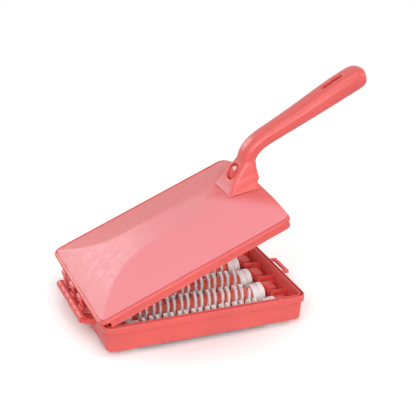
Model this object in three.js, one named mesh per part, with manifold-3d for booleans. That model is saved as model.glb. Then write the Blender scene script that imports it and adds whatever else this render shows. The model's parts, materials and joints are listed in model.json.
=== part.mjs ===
// Hand-held roller sweeper: an open-topped tray with five spinning brush rollers, and a crowned lid,
// hinged at one short end, that carries the handle. Millimetres, +Z up, floor at z = 0, +X towards the
// handle, +Y to the back. The lid stands open, as it does while the tray is emptied.
import * as THREE from 'three';
import { mergeVertices } from 'three/addons/utils/BufferGeometryUtils.js';
import Module from 'manifold-3d';

const wasm = await Module();
wasm.setup();

// ---- Driving dimensions --------------------------------------------------------------------------
const LENGTH = 200; // tray rim, hinge end to catch end
const WIDTH = 160; // tray rim, front to back
const CORNER = 9; // plan corner radius of the rim
const TRAY_BOTTOM = 4.5; // underside of the tray: only the brushes touch the floor
const RIM_TOP = 31;
const LID_TOP = 34.5; // top of the lid's rim bead when the lid is shut
const OPEN_ANGLE = THREE.MathUtils.degToRad(23); // lid at rest
const GAP = 0.3; // clearance between pieces that touch

// Distances inwards from the rim outline.
const FLANGE_WALL = 1.3;
const WALL_OUTER = 2.2;
const WALL_FOOT = 3.2;
const LIP_OUTER = 3.8;
const LIP_INNER = 4.9;
const FLANGE_BOTTOM = 24;
const FLOOR_THICKNESS = 2;

const HINGE = { x: -109, z: 21.5, radius: 3.8, pin: 1.6, bore: 1.95, length: 78, knuckles: 6, slit: 0.4 };

const ROLLERS = 5;
const ROLLER = { pitch: 30.8, z: 12.6, tip: 13.1, cap: 11.8, sleeve: 8.6, core: 7.6, axle: 2.4, half: 75 };
const CAP_LENGTH = 12.5;
const BEARING = { wall: 3, top: 19, block: 7.5, blockWidth: 15, blockTop: 21.8, rib: 1.8, ribTop: 23 };
const LEAD = 14; // advance of each bristle strip in one turn
const STARTS = 2; // bristle strips wound side by side
const STRANDS_PER_ROLLER = 80;
const STRAND = { halfWide: 1.6, halfThick: 0.7 };
const PLAIN_BRUSHES = 1; // the brush at the back, in the lid's shade, is a plain round solid

const CORAL = 0xe8615f;
const CORAL_LID = 0xf08a8c;
const CORE_RED = 0xd8503f;
const BRUSH_WHITE = 0xfbe9e6;
const CAP_WHITE = 0xf7f3f2;

// ---- Solids ---------------------------------------------------------------------------------------
function solid(geometry) {
  const plain = geometry.index ? geometry.clone() : geometry;
  plain.deleteAttribute('normal');
  plain.deleteAttribute('uv');
  const merged = mergeVertices(plain, 1e-4);
  return new wasm.Manifold(new wasm.Mesh({
    numProp: 3,
    vertProperties: new Float32Array(merged.attributes.position.array),
    triVerts: new Uint32Array(merged.index.array),
  }));
}

function geometryOf(manifold) {
  const mesh = manifold.getMesh();
  const geometry = new THREE.BufferGeometry();
  geometry.setAttribute('position', new THREE.BufferAttribute(new Float32Array(mesh.vertProperties), 3));
  geometry.setIndex(new THREE.BufferAttribute(new Uint32Array(mesh.triVerts), 1));
  const faceted = geometry.toNonIndexed();
  faceted.computeVertexNormals();
  return faceted;
}

function join(solids) {
  return solids.reduce((whole, piece) => whole.add(piece));
}

function box(x0, x1, y0, y1, z0, z1) {
  const geometry = new THREE.BoxGeometry(x1 - x0, y1 - y0, z1 - z0);
  return solid(geometry.translate((x0 + x1) / 2, (y0 + y1) / 2, (z0 + z1) / 2));
}

// A cylinder along X, Y or Z.
function rodX(x0, x1, y, z, radius, sides) {
  const geometry = new THREE.CylinderGeometry(radius, radius, x1 - x0, sides);
  return solid(geometry.rotateZ(-Math.PI / 2).translate((x0 + x1) / 2, y, z));
}

function rodY(x, y0, y1, z, radius, sides) {
  const geometry = new THREE.CylinderGeometry(radius, radius, y1 - y0, sides);
  return solid(geometry.translate(x, (y0 + y1) / 2, z));
}

function rodZ(x, y, z0, z1, radius, sides) {
  const geometry = new THREE.CylinderGeometry(radius, radius, z1 - z0, sides);
  return solid(geometry.rotateX(Math.PI / 2).translate(x, y, (z0 + z1) / 2));
}

// A shape drawn in X and Z, extruded along Y.
function slabXZ(points, y0, y1) {
  const shape = new THREE.Shape(points.map(([x, z]) => new THREE.Vector2(x, z)));
  const geometry = new THREE.ExtrudeGeometry(shape, { depth: y1 - y0, bevelEnabled: false });
  return solid(geometry.rotateX(Math.PI / 2).translate(0, y1, 0));
}

// Rings of equal length, stacked from first to last and closed by a fan at each end.
function loft(rings) {
  const count = rings[0].length;
  const positions = [];
  const face = (...corners) => corners.forEach((p) => positions.push(p.x, p.y, p.z));
  for (let i = 1; i + 1 < count; i += 1) {
    face(rings[0][0], rings[0][i + 1], rings[0][i]);
    face(rings.at(-1)[0], rings.at(-1)[i], rings.at(-1)[i + 1]);
  }
  for (let k = 0; k + 1 < rings.length; k += 1) {
    const [low, high] = [rings[k], rings[k + 1]];
    for (let i = 0; i < count; i += 1) {
      const j = (i + 1) % count;
      face(low[i], low[j], high[j]);
      face(low[i], high[j], high[i]);
    }
  }
  const geometry = new THREE.BufferGeometry();
  geometry.setAttribute('position', new THREE.Float32BufferAttribute(positions, 3));
  return solid(geometry);
}

// A rounded rectangle at height z, counter-clockwise seen from above.
function roundedRing(x0, x1, halfWidth, radius, z, steps = 4) {
  const ring = [];
  const corners = [[x1, 1, 0], [x0, 1, 1], [x0, -1, 2], [x1, -1, 3]];
  for (const [x, side, quarter] of corners) {
    const centreX = x === x1 ? x1 - radius : x0 + radius;
    for (let i = 0; i <= steps; i += 1) {
      const angle = (quarter + i / steps) * Math.PI / 2;
      const y = side * (halfWidth - radius) + radius * Math.sin(angle);
      ring.push(new THREE.Vector3(centreX + radius * Math.cos(angle), y, z));
    }
  }
  return ring;
}

// A plug of the rim's outline, drawn in by each level's inset.
function plug(levels) {
  return loft(levels.map(([inset, z]) => roundedRing(
    -LENGTH / 2 + inset, LENGTH / 2 - inset, WIDTH / 2 - inset, Math.max(CORNER - inset, 1.5), z,
  )));
}

// ---- Hinge ----------------------------------------------------------------------------------------
const knuckleLength = HINGE.length / HINGE.knuckles;

function knuckleSpan(index) {
  const start = -HINGE.length / 2 + index * knuckleLength;
  return [start + HINGE.slit / 2, start + knuckleLength - HINGE.slit / 2];
}

function hingeBore() {
  return rodY(HINGE.x, -HINGE.length, HINGE.length, HINGE.z, HINGE.bore, 12);
}

function trayKnuckle(index) {
  const [y0, y1] = knuckleSpan(index);
  const wall = -LENGTH / 2 + WALL_OUTER + 1;
  const arm = slabXZ([
    [HINGE.x - 1, HINGE.z - HINGE.radius], [wall, 14], [wall, 20], [HINGE.x, HINGE.z + 1],
  ], y0, y1);
  return rodY(HINGE.x, y0, y1, HINGE.z, HINGE.radius, 18).add(arm);
}

// The lid's arms leave the barrels low, rise close outside the tray's flange and turn in under the bead.
function lidKnuckle(index) {
  const [y0, y1] = knuckleSpan(index);
  const inner = -LENGTH / 2 - 1.2;
  const under = RIM_TOP + 0.6;
  const arm = slabXZ([
    [HINGE.x, HINGE.z - 1.4], [inner - 2.4, HINGE.z - 1.4], [inner - 0.2, HINGE.z + 1.6], [inner, under],
    [inner + 3, under], [inner + 3, LID_TOP - 0.7], [inner - 0.6, LID_TOP - 0.7], [inner - 2, under],
    [inner - 2.2, HINGE.z + 3], [inner - 3.4, HINGE.z + 1.4], [HINGE.x, HINGE.z + 1.4],
  ], y0, y1);
  return rodY(HINGE.x, y0, y1, HINGE.z, HINGE.radius, 18).add(arm);
}

function hingePin() {
  return rodY(HINGE.x, -HINGE.length / 2 - 0.8, HINGE.length / 2 + 0.8, HINGE.z, HINGE.pin, 12);
}

// ---- Tray -----------------------------------------------------------------------------------------
const rollerY = (index) => (index - (ROLLERS - 1) / 2) * ROLLER.pitch;

const CATCH = { reach: 12, half: 15.5, bar: 3, low: 22, high: 25 };

function catchLoop() {
  const wall = LENGTH / 2 - WALL_OUTER - 1;
  const outer = LENGTH / 2 + CATCH.reach;
  const inner = CATCH.half - CATCH.bar;
  const plate = box(wall, outer, -CATCH.half, CATCH.half, CATCH.low, CATCH.high);
  const slot = box(LENGTH / 2 + 0.6, outer - CATCH.bar, -inner, inner, CATCH.low - 2, CATCH.high + 2);
  return plate.subtract(slot);
}

function tray() {
  const floorTop = TRAY_BOTTOM + FLOOR_THICKNESS;
  const outside = plug([
    [WALL_FOOT + 1.4, TRAY_BOTTOM], [WALL_FOOT, TRAY_BOTTOM + 1.4], [WALL_OUTER, FLANGE_BOTTOM],
    [0, FLANGE_BOTTOM + 0.4], [0, RIM_TOP - 0.6], [0.5, RIM_TOP],
  ]);
  const inside = plug([[LIP_INNER, floorTop], [LIP_INNER, RIM_TOP + 5]]);
  const groove = plug([[FLANGE_WALL, FLANGE_BOTTOM], [FLANGE_WALL, RIM_TOP + 5]])
    .subtract(plug([[LIP_OUTER, FLANGE_BOTTOM - 1], [LIP_OUTER, RIM_TOP + 6]]));
  const slotHalf = ROLLER.half + 1.4;
  const slots = Array.from({ length: ROLLERS }, (_, i) => box(
    -slotHalf, slotHalf, rollerY(i) - 12.4, rollerY(i) + 12.4, TRAY_BOTTOM - 1, floorTop + 1,
  ));
  const knuckles = [0, 2, 4].map(trayKnuckle);
  const body = join([outside, catchLoop(), ...knuckles]).subtract(inside).subtract(groove);
  return body.subtract(join(slots)).subtract(hingeBore());
}

// A bearing frame clips down over the axles at each end: a wall and a block over every axle, with a
// notch open to the floor, and ribs that reach the end wall between the rollers. Drawn at the +X end.
function bearingFrame(side) {
  const x0 = ROLLER.half + 2.2;
  const x1 = LENGTH / 2 - LIP_INNER - GAP;
  const z0 = TRAY_BOTTOM + FLOOR_THICKNESS + GAP;
  const yEnd = WIDTH / 2 - LIP_INNER - 4;
  const pieces = [box(x0, x0 + BEARING.wall, -yEnd, yEnd, z0, BEARING.top)];
  const cuts = [];
  for (let i = 0; i < ROLLERS; i += 1) {
    const y = rollerY(i);
    const half = BEARING.blockWidth / 2;
    pieces.push(box(x0 + 1, x0 + BEARING.wall + BEARING.block, y - half, y + half, z0, BEARING.blockTop));
    cuts.push(rodX(x0 - 1, x0 + 8, y, ROLLER.z, ROLLER.axle + GAP, 12));
    cuts.push(box(x0 - 1, x0 + 8, y - ROLLER.axle - GAP, y + ROLLER.axle + GAP, z0 - 1, ROLLER.z));
    if (i + 1 < ROLLERS) {
      const rib = y + ROLLER.pitch / 2;
      pieces.push(box(x0 + 1, x1, rib - BEARING.rib / 2, rib + BEARING.rib / 2, z0, BEARING.ribTop));
      pieces.push(box(x0, x0 + 4.5, rib - 2.6, rib + 2.6, z0, BEARING.ribTop));
    }
  }
  const frame = join(pieces).subtract(join(cuts));
  return side > 0 ? frame : frame.rotate([0, 0, 180]);
}

// ---- Rollers --------------------------------------------------------------------------------------
function rollerCore(y) {
  const body = ROLLER.half - CAP_LENGTH - GAP;
  const stub = ROLLER.half + 7;
  return rodX(-body, body, y, ROLLER.z, ROLLER.core, 12)
    .add(rodX(-stub, stub, y, ROLLER.z, ROLLER.axle, 10));
}

// A cup-shaped end cap with a rounded outer edge, turned about the axle.
function rollerCap(y, side) {
  const r = ROLLER.cap;
  const bore = ROLLER.axle + GAP;
  const profile = [
    [bore, 0], [r - 0.9, 0], [r - 0.9, CAP_LENGTH / 2], [r, CAP_LENGTH / 2 + 0.6], [r, CAP_LENGTH - 1.8],
    [r - 1.6, CAP_LENGTH], [bore + 2.4, CAP_LENGTH - 1.2], [bore, CAP_LENGTH], [bore, 0],
  ].map(([radius, along]) => new THREE.Vector2(radius, along));
  const geometry = new THREE.LatheGeometry(profile, 16);
  geometry.rotateZ(-Math.PI / 2 * side);
  return solid(geometry.translate(side * (ROLLER.half - CAP_LENGTH), y, ROLLER.z));
}

// Three-sided strands stand on a thin sleeve along two strips wound round the roller. The floor
// presses the lowest tips flat.
function bristles(y, plain) {
  const reach = ROLLER.half - CAP_LENGTH - GAP;
  const radius = plain ? ROLLER.tip : ROLLER.sleeve;
  const sleeve = rodX(-reach, reach, y, ROLLER.z, radius, plain ? 20 : 12)
    .subtract(rodX(-reach - 1, reach + 1, y, ROLLER.z, ROLLER.core + GAP, 12));
  const floor = box(-LENGTH, LENGTH, -WIDTH, WIDTH, -9, 0);
  return sleeve.add(wasm.Manifold.union(plain ? [] : strips(y, 2 * reach - 5))).subtract(floor);
}

function strips(y, run) {
  const perStrip = STRANDS_PER_ROLLER / STARTS;
  const strands = [];
  for (let start = 0; start < STARTS; start += 1) {
    for (let i = 0; i < perStrip; i += 1) {
      const along = run * ((i + 0.5) / perStrip - 0.5);
      strands.push(strand(along, 2 * Math.PI * (along / LEAD + start / STARTS), y));
    }
  }
  return strands;
}

function strand(along, angle, y) {
  const out = new THREE.Vector3(0, Math.sin(angle), Math.cos(angle));
  const around = new THREE.Vector3(LEAD / (2 * Math.PI * ROLLER.tip), Math.cos(angle), -Math.sin(angle));
  const ring = (radius) => [[-1, -1], [1, -1], [0, 1]].map(([wide, thick]) => (
    new THREE.Vector3(along - thick * STRAND.halfThick, y, ROLLER.z)
      .addScaledVector(out, radius).addScaledVector(around, wide * STRAND.halfWide)
  ));
  return loft([ring(ROLLER.sleeve - 0.5), ring(ROLLER.tip)]);
}

// ---- Lid ------------------------------------------------------------------------------------------
const BEAD = 2.4; // rim bead, then a groove, then the crowned top
const CROWN = 3.8; // inset of the crowned top's outline
const SHELL = 2;
const SKIRT_OUTER = 1.8;
const SKIRT_INNER = 3.2;
const SKIRT_BOTTOM = 24.7;
const CROWN_BASE = RIM_TOP + 0.4; // clears the tray's rim when the lid is shut
// The crown: a flank rises evenly from each long edge and ends in a crease, which softens towards the
// handle. Between the creases a band climbs from the hinge end, narrows, and meets the shoulder that
// falls to the handle end.
const EDGE = WIDTH / 2 - CROWN;
const FLANK = { low: 0.18, high: 0.235, from: -80, to: -5, steeper: 0.14 };
const BAND = { rise: 13.4, run: 95, crest: 1.6, crestFrom: 22, crestTo: 66 };
const CREASE = { sharp: 0.4, soft: 5, from: -25, to: 35 };
const SHOULDER = { end: 9.5, bow: 78, slope: 0.14, inset: 0.8 };

const { smoothstep, clamp, lerp } = THREE.MathUtils;

function bandTop(x) {
  const along = clamp((x + LENGTH / 2 - CROWN) / BAND.run, 0, 1);
  const crest = BAND.crest * smoothstep(x, BAND.crestFrom, BAND.crestTo);
  return BAND.rise * (1 - (1 - along) ** 2) + crest;
}

function shoulderTop(x, y) {
  const fromEnd = LENGTH / 2 - SHOULDER.inset - x;
  return SHOULDER.end * (1 - (Math.abs(y) / SHOULDER.bow) ** 3) + SHOULDER.slope * fromEnd;
}

function flank(x, y) {
  const steeper = FLANK.steeper * (clamp(x - 55, 0, 45) / 41) ** 2;
  const slope = lerp(FLANK.low, FLANK.high, smoothstep(x, FLANK.from, FLANK.to));
  return (slope + steeper) * (EDGE - Math.abs(y));
}

function crownTop(x, y) {
  return Math.min(bandTop(x), shoulderTop(x, y));
}

// Half-width between the creases, where the flank reaches the height of the top.
function creaseHalf(x) {
  let [low, high] = [0, EDGE];
  for (let i = 0; i < 24; i += 1) {
    const y = (low + high) / 2;
    if (flank(x, y) > crownTop(x, y)) low = y;
    else high = y;
  }
  return clamp(low, 3, EDGE - 3);
}

// The lower of top and flank, rounded over where they meet.
function crownRise(x, y) {
  const [top, side] = [crownTop(x, y), flank(x, y)];
  const blend = lerp(CREASE.sharp, CREASE.soft, smoothstep(x, CREASE.from, CREASE.to));
  const near = Math.max(blend - Math.abs(top - side), 0) / blend;
  return Math.max(Math.min(top, side) - near ** 2 * blend / 4, 0);
}

// The crowned top as a solid down to a flat base, its grid lines following the creases. At the handle
// end it runs out to the rim.
function crown(wall, drop, base, columns, inner, outer) {
  const x0 = -LENGTH / 2 + CROWN + wall;
  const x1 = LENGTH / 2 - SHOULDER.inset - wall;
  const radius = CORNER - CROWN;
  const edgeAt = (x) => {
    const away = Math.max(radius - Math.min(x - x0, x1 - x), 0);
    return WIDTH / 2 - CROWN - wall - (radius - Math.sqrt(radius ** 2 - away ** 2));
  };
  const rings = [];
  for (let i = 0; i <= columns; i += 1) {
    const t = i / columns;
    const x = lerp(x0, x1, t - Math.sin(4 * Math.PI * t) * 0.03 - Math.sin(2 * Math.PI * t) * 0.06);
    const edge = edgeAt(x);
    const crease = Math.min(creaseHalf(x), edge - 2);
    const half = [];
    for (let k = 1; k <= inner; k += 1) half.push(crease * k / inner);
    for (let k = 1; k <= outer; k += 1) half.push(lerp(crease, edge, k / outer));
    const ys = [...half.map((v) => -v).reverse(), 0, ...half];
    const top = ys.map((y) => new THREE.Vector3(x, y, LID_TOP + crownRise(x, y) - drop));
    const floor = [ys.at(-1), ys[0]].map((y) => new THREE.Vector3(x, y, base));
    rings.push([...top, ...floor].reverse());
  }
  return loft(rings);
}

function lidShell() {
  const rim = plug([[0, RIM_TOP + 0.4], [0, LID_TOP - 1], [0.7, LID_TOP - 0.1], [1.4, LID_TOP]]);
  const skirt = plug([[SKIRT_OUTER, SKIRT_BOTTOM], [SKIRT_OUTER, RIM_TOP + 1]])
    .subtract(box(-LENGTH, -LENGTH / 2 + 10, -WIDTH, WIDTH, 0, RIM_TOP + 0.4));
  const groove = plug([[BEAD, LID_TOP - 1.5], [BEAD - 0.3, LID_TOP + 1]])
    .subtract(plug([[CROWN, LID_TOP - 3], [CROWN, LID_TOP + 3]]))
    .subtract(box(LENGTH / 2 - CROWN, LENGTH, -EDGE + 5, EDGE - 5, 0, 60));
  const hollow = plug([[SKIRT_INNER, SKIRT_BOTTOM - 1], [SKIRT_INNER, LID_TOP - 2.4]])
    .add(crown(1.6, SHELL, LID_TOP - 4, 16, 2, 2));
  const outside = join([rim, skirt, crown(0, 0, CROWN_BASE, 26, 4, 4)]).subtract(groove);
  return join([outside.subtract(hollow), catchHook(), ...[1, 3, 5].map(lidKnuckle)]).subtract(hingeBore());
}

// The hook hangs from the lid's end and drops into the tray's catch loop.
function catchHook() {
  const x = LENGTH / 2;
  return slabXZ([
    [x - 2, 32], [x + 1.6, 31.2], [x + 1.8, 22], [x + 2.6, 20.4], [x + 5, 21.4], [x + 4, 23.4], [x + 4, 31],
    [x + 2.6, 33.6], [x - 2, 34],
  ], -9, 9);
}

// ---- Handle ---------------------------------------------------------------------------------------
// Side-on centre line of the grip: up from the lid, over a tight bend, then nearly level.
const GRIP_LINE = [
  [97, 54], [98, 61], [101, 67], [106, 72], [113, 75.6], [121, 77.6],
  [137, 79.2], [162, 81.4], [187, 84], [212, 86.6], [228, 87.8], [236, 88.1],
];
const GRIP_END = 241.4;
const ROUNDED_FROM = 224;
const HANG_SLOT = { from: 198, to: 216.5, radius: 2.9 };
// Levels of the root: height, both ends along X, half-width, corner radius. A small collar stands out
// over the lid's end.
const ROOT = [
  [38, 58, 96, 21, 4], [45, 63.2, 97.4, 19.4, 4], [48.2, 66.6, 98, 17.4, 4], [50, 68.6, 102.4, 16.4, 4],
  [53.5, 72.6, 103.2, 15.3, 4.2], [57, 76.8, 104.2, 14.2, 4.6], [61, 82.2, 105.4, 13, 5],
  [65, 88.6, 107.2, 11.6, 5], [69, 94, 108.6, 9.4, 5],
];
// A thumb button sits in a pocket in the root's slope. tilt is the slope's angle, along and across are
// the button's half-sizes, pocket is the depth and rim how far the button's edge lies below the slope.
const BUTTON = { x: 83.2, z: 61.4, tilt: 37, along: 7.6, across: 8.8, pocket: 7, rim: 2.2, dome: 1.7 };
const BUTTON_TRAVEL = 2;

function gripSection(curve, t) {
  const at = curve.getPoint(t);
  const along = curve.getTangent(t);
  const nearEnd = clamp((at.x - ROUNDED_FROM) / (GRIP_END - ROUNDED_FROM), 0, 1);
  const taper = Math.sqrt(Math.max(1 - nearEnd ** 4, 0.1));
  const halfDeep = lerp(7.6, 10.4, smoothstep(at.x, 120, 225)) * lerp(1, taper, 0.8);
  const halfWide = lerp(10.8, 14, smoothstep(at.x, 110, 225)) * taper;
  const up = new THREE.Vector3(-along.z, 0, along.x);
  const ring = [];
  for (let i = 0; i < 16; i += 1) {
    const angle = (i + 0.5) / 16 * 2 * Math.PI;
    const [c, s] = [Math.cos(angle), Math.sin(angle)];
    const wide = Math.sign(c) * Math.abs(c) ** 0.72 * halfWide;
    const deep = Math.sign(s) * Math.abs(s) ** 0.72 * halfDeep;
    ring.push(at.clone().addScaledVector(up, deep).add(new THREE.Vector3(0, wide, 0)));
  }
  return ring;
}

function grip() {
  const curve = new THREE.CatmullRomCurve3(
    [...GRIP_LINE, [GRIP_END, 88.1]].map(([x, z]) => new THREE.Vector3(x, 0, z)), false, 'centripetal',
  );
  const steps = 26;
  return loft(Array.from({ length: steps + 1 }, (_, i) => gripSection(curve, i / steps)));
}

// An oval of the button's shape, grown or shrunk, at a depth below the slope.
function ovalRing(grow, depth) {
  const tilt = THREE.MathUtils.degToRad(BUTTON.tilt);
  const slope = new THREE.Vector3(Math.cos(tilt), 0, Math.sin(tilt));
  const outward = new THREE.Vector3(-Math.sin(tilt), 0, Math.cos(tilt));
  return Array.from({ length: 20 }, (_, i) => {
    const angle = i / 20 * 2 * Math.PI;
    return new THREE.Vector3(BUTTON.x, (BUTTON.across + grow) * Math.sin(angle), BUTTON.z)
      .addScaledVector(slope, (BUTTON.along + grow) * Math.cos(angle)).addScaledVector(outward, -depth);
  });
}

function pocket() {
  return loft([ovalRing(GAP + 0.1, BUTTON.pocket), ovalRing(GAP + 0.1, 0.4), ovalRing(GAP + 1.5, -4)]);
}

function thumbButton() {
  const { rim, dome } = BUTTON;
  const foot = BUTTON.pocket - BUTTON_TRAVEL - GAP;
  return loft([
    ovalRing(-0.4, foot), ovalRing(0, foot - 0.4), ovalRing(0, rim), ovalRing(-0.8, rim - dome * 0.45),
    ovalRing(-2.6, rim - dome * 0.8), ovalRing(-5, rim - dome),
  ]);
}

function handle() {
  const { from, to, radius } = HANG_SLOT;
  const slot = join([
    box(from, to, -radius, radius, 60, 120),
    rodZ(from, 0, 60, 120, radius, 12),
    rodZ(to, 0, 60, 120, radius, 12),
  ]);
  const root = loft(ROOT.map(([z, x0, x1, half, corner]) => roundedRing(x0, x1, half, corner, z)));
  const seat = crown(0, -GAP, 20, 26, 4, 4);
  return grip().add(root).subtract(slot).subtract(pocket()).subtract(seat);
}

// ---- Assembly -------------------------------------------------------------------------------------
function material(color, roughness) {
  return new THREE.MeshStandardMaterial({ color, roughness, metalness: 0 });
}

function node(name, manifold, color, roughness) {
  const mesh = new THREE.Mesh(geometryOf(manifold), material(color, roughness));
  mesh.name = name;
  return mesh;
}

const sweeper = new THREE.Group();
sweeper.add(
  node('tray', tray(), CORAL, 0.35),
  node('bearing_frame_hinge_end', bearingFrame(-1), CORAL, 0.4),
  node('bearing_frame_catch_end', bearingFrame(1), CORAL, 0.4),
  node('hinge_pin', hingePin(), CORAL, 0.35),
);

for (let i = 0; i < ROLLERS; i += 1) {
  const y = rollerY(i);
  sweeper.add(
    node(`roller_${i + 1}_core`, rollerCore(y), CORE_RED, 0.45),
    node(`roller_${i + 1}_bristles`, bristles(y, i >= ROLLERS - PLAIN_BRUSHES), BRUSH_WHITE, 0.9),
    node(`roller_${i + 1}_cap_hinge_end`, rollerCap(y, -1), CAP_WHITE, 0.4),
    node(`roller_${i + 1}_cap_catch_end`, rollerCap(y, 1), CAP_WHITE, 0.4),
  );
}

// The lid is modelled shut and turned open about the hinge pin.
const lid = new THREE.Group();
lid.add(
  node('lid_shell', lidShell(), CORAL_LID, 0.3),
  node('handle', handle(), CORAL, 0.35),
  node('thumb_button', thumbButton(), CORAL, 0.25),
);
for (const piece of lid.children) piece.position.set(-HINGE.x, 0, -HINGE.z);
lid.position.set(HINGE.x, 0, HINGE.z);
lid.rotation.y = -OPEN_ANGLE;
sweeper.add(lid);

// The origin is on the floor, under the middle of the whole part.
sweeper.updateMatrixWorld(true);
const whole = new THREE.Box3().setFromObject(sweeper, true);
sweeper.position.set(-(whole.min.x + whole.max.x) / 2, -(whole.min.y + whole.max.y) / 2, -whole.min.z);

export default sweeper;
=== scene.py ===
# %% [markdown]
# # A hand-held roller sweeper
# The sweeper is an open tray with five brush rollers, and a crowned lid that carries the handle. The
# measured solids are loaded first. They say where everything is, and every piece made here sits on them.
# Modelling it all afresh would be freer, but the joints would then have to be fitted again.

# %% Load the measured solids
import json
import math

import bpy
import numpy as np
from mathutils import Matrix, Vector

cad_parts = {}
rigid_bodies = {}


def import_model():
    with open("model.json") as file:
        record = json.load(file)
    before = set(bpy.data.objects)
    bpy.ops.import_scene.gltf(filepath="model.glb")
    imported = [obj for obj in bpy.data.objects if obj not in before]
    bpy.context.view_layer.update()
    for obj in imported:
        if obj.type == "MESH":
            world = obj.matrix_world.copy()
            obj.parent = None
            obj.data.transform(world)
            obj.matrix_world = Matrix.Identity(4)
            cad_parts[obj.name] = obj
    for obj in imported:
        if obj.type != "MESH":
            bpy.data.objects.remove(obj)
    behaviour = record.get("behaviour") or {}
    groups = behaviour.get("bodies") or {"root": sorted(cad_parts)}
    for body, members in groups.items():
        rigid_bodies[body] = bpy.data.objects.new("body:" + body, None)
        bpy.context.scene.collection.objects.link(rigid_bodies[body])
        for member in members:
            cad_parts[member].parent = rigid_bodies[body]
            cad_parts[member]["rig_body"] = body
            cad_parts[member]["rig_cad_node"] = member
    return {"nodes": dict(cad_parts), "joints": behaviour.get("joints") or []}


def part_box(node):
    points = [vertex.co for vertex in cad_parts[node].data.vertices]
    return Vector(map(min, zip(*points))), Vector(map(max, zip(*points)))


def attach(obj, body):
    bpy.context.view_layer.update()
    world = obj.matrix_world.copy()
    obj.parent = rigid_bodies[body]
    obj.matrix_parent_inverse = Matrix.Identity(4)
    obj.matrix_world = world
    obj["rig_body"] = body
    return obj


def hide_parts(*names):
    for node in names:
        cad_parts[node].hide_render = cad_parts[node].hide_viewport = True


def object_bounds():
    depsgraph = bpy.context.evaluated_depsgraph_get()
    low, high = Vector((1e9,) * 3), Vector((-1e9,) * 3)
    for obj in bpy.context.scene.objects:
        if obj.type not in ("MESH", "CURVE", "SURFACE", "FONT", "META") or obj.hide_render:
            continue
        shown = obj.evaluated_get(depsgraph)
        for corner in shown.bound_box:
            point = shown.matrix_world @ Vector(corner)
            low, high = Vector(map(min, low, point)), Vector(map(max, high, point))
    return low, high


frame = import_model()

CAD_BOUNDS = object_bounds()
print("the solids span", [tuple(round(v, 4) for v in corner) for corner in CAD_BOUNDS])

# %% [markdown]
# ## The camera
# The camera stands to the front and left, a little over a metre away, and looks down at the sweeper
# through a long lens, which keeps the tray's sides nearly parallel. It could be aimed with a Track To
# constraint, but it also leans a little to one side. So its right, up and backward directions are
# worked out, and they are the three columns of its turn.

# %% Place the camera
TRAY_MIDDLE_X = (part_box("roller_3_core")[0][0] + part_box("roller_3_core")[1][0]) / 2
CAMERA_PLACE = (TRAY_MIDDLE_X - 0.3494, -0.8945, 0.5202)
CAMERA_YAW = math.radians(22.9)
CAMERA_PITCH = math.radians(23.49)
CAMERA_ROLL = math.radians(1.78)
LENS = 95.3
SENSOR_WIDTH = 36

forward = Vector((
    math.sin(CAMERA_YAW) * math.cos(CAMERA_PITCH),
    math.cos(CAMERA_YAW) * math.cos(CAMERA_PITCH),
    -math.sin(CAMERA_PITCH),
))
level_right = forward.cross(Vector((0, 0, 1))).normalized()
level_up = level_right.cross(forward)
right = level_right * math.cos(CAMERA_ROLL) + level_up * math.sin(CAMERA_ROLL)
up = level_up * math.cos(CAMERA_ROLL) - level_right * math.sin(CAMERA_ROLL)

bpy.ops.object.camera_add()
camera = bpy.context.object
camera.name = "camera"
turn = Matrix((right, up, -forward)).transposed().to_4x4()
camera.matrix_world = Matrix.Translation(CAMERA_PLACE) @ turn
camera.data.lens = LENS
camera.data.sensor_width = SENSOR_WIDTH
bpy.context.scene.camera = camera
print("the camera stands at", tuple(round(v, 3) for v in camera.location))

# %% [markdown]
# ## The background
# The world fills the shadows with a weak, slightly warm light. It could be bright enough to be white by
# itself, but it would then wash out the plastic. So Light Path tells its rays apart: those from the
# camera, from gloss and through glass see plain white, and all others see the weak fill.

# %% Set up the world
WORLD_FILL = 0.34
scene = bpy.context.scene
scene.view_settings.view_transform = "Standard"
world = bpy.data.worlds.new("studio")
scene.world = world
world.use_nodes = True
tree = world.node_tree
fill = tree.nodes["Background"]
fill.inputs["Color"].default_value = (1, 0.99, 0.98, 1)
fill.inputs["Strength"].default_value = WORLD_FILL
seen = tree.nodes.new("ShaderNodeBackground")
seen.inputs["Color"].default_value = (1, 1, 1, 1)
seen.inputs["Strength"].default_value = 1
path = tree.nodes.new("ShaderNodeLightPath")
direct = tree.nodes.new("ShaderNodeMath")
direct.operation = "MAXIMUM"
tree.links.new(path.outputs["Is Camera Ray"], direct.inputs[0])
tree.links.new(path.outputs["Is Glossy Ray"], direct.inputs[1])
through = tree.nodes.new("ShaderNodeMath")
through.operation = "MAXIMUM"
tree.links.new(direct.outputs[0], through.inputs[0])
tree.links.new(path.outputs["Is Transmission Ray"], through.inputs[1])
choose = tree.nodes.new("ShaderNodeMixShader")
tree.links.new(through.outputs[0], choose.inputs["Fac"])
tree.links.new(fill.outputs[0], choose.inputs[1])
tree.links.new(seen.outputs[0], choose.inputs[2])
tree.links.new(choose.outputs[0], tree.nodes["World Output"].inputs["Surface"])
print("the world fills with", WORLD_FILL)

# %% [markdown]
# ## The floor
# The sweeper stands on pale paper. A plain sheet would come out light grey and show where it ends. So it
# glows a little for the camera alone, but not close to the tray, where the shadow must stay, and
# farther out it thins away until only the white world is left.

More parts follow.
